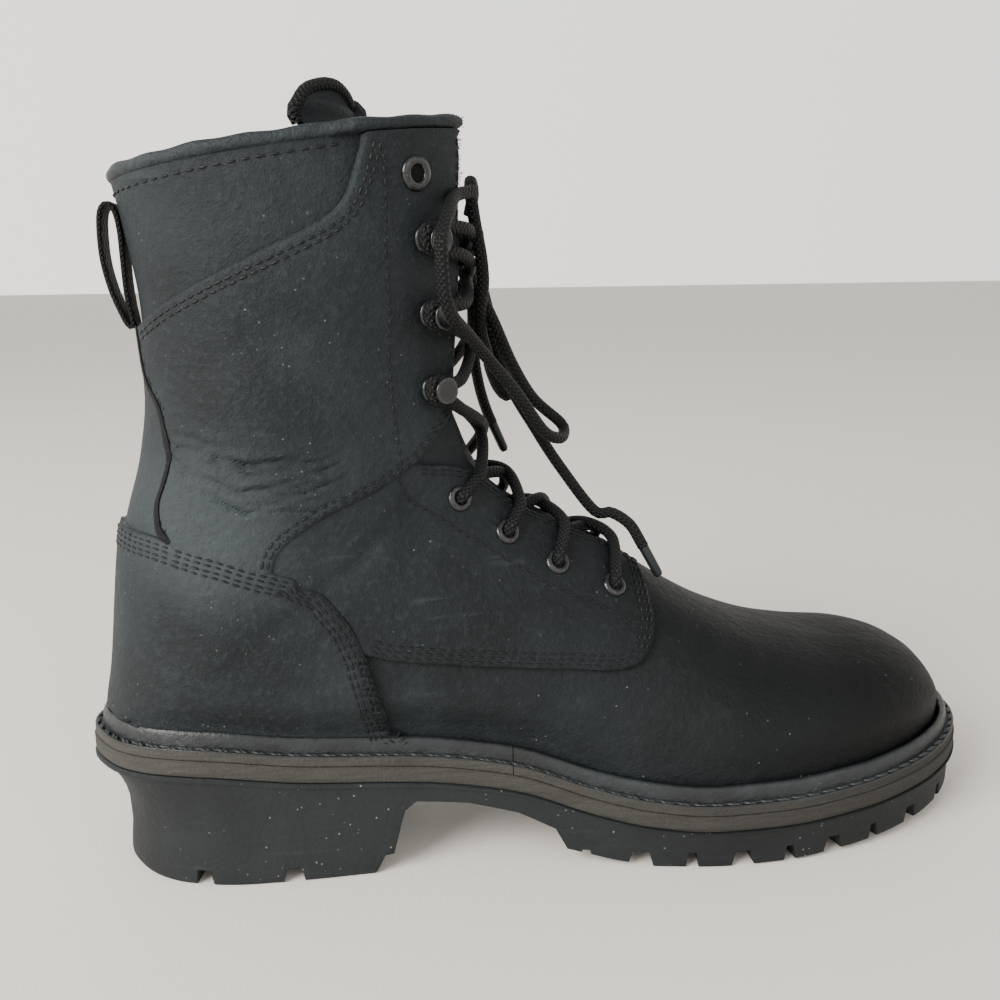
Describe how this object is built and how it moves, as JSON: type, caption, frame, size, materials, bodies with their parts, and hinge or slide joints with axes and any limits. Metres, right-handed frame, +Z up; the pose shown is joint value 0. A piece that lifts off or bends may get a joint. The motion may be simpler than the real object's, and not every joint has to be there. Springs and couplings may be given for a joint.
{
  "type": "lace-up work boot",
  "caption": "Right ankle-high lace-up work boot with a tall block heel, welted leather upper, lug sole, hooks and eyelets.",
  "frame": {"origin": "on the floor under the heel, on the flat tread between the heel's two notches, in the middle of the heel's width", "axes": "+Z up, +X towards the toe, +Y towards the inner (medial) side of a right boot"},
  "size_m": [0.3194, 0.1066, 0.251],
  "materials": {
    "rubber": "matte black moulded rubber, dusty",
    "midsole_leather": "grey-brown edge of a leather midsole, worn",
    "welt_leather": "black welt, waxed ridge",
    "insole_fabric": "dark fabric insole",
    "black_leather": "black nubuck leather, slightly greenish",
    "tongue_leather": "soft black leather",
    "panel_leather": "black nubuck leather with stitched edges",
    "binding_leather": "black leather collar roll, worn lighter on top",
    "loop_webbing": "black webbing with braided edges",
    "black_hardware": "glossy black enamel, chipped",
    "lace_cord": "black braided round lace"
  },
  "bodies": {
    "root": {"backstay": "panel_leather", "collar_binding": "binding_leather", "counter": "panel_leather", "eyelet_lateral_1": "black_hardware", "eyelet_lateral_2": "black_hardware", "eyelet_lateral_3": "black_hardware", "eyelet_lateral_4": "black_hardware", "eyelet_lateral_5": "black_hardware", "eyelet_medial_1": "black_hardware", "eyelet_medial_2": "black_hardware", "eyelet_medial_3": "black_hardware", "eyelet_medial_4": "black_hardware", "eyelet_medial_5": "black_hardware", "hook_lateral_1": "black_hardware", "hook_lateral_2": "black_hardware", "hook_lateral_3": "black_hardware", "hook_medial_1": "black_hardware", "hook_medial_2": "black_hardware", "hook_medial_3": "black_hardware", "insole": "insole_fabric", "lace_crossings": "lace_cord", "lace_end_lateral": "lace_cord", "lace_end_medial": "lace_cord", "lace_knot": "lace_cord", "lace_loop_lateral": "lace_cord", "lace_loop_medial": "lace_cord", "midsole": "midsole_leather", "outsole": "rubber", "pull_loop": "loop_webbing", "quarter_lateral": "panel_leather", "quarter_medial": "panel_leather", "shaft_lateral": "panel_leather", "shaft_medial": "panel_leather", "tongue": "tongue_leather", "upper": "black_leather", "welt_front": "welt_leather", "welt_heel": "welt_leather"}
  },
  "joints": []
}
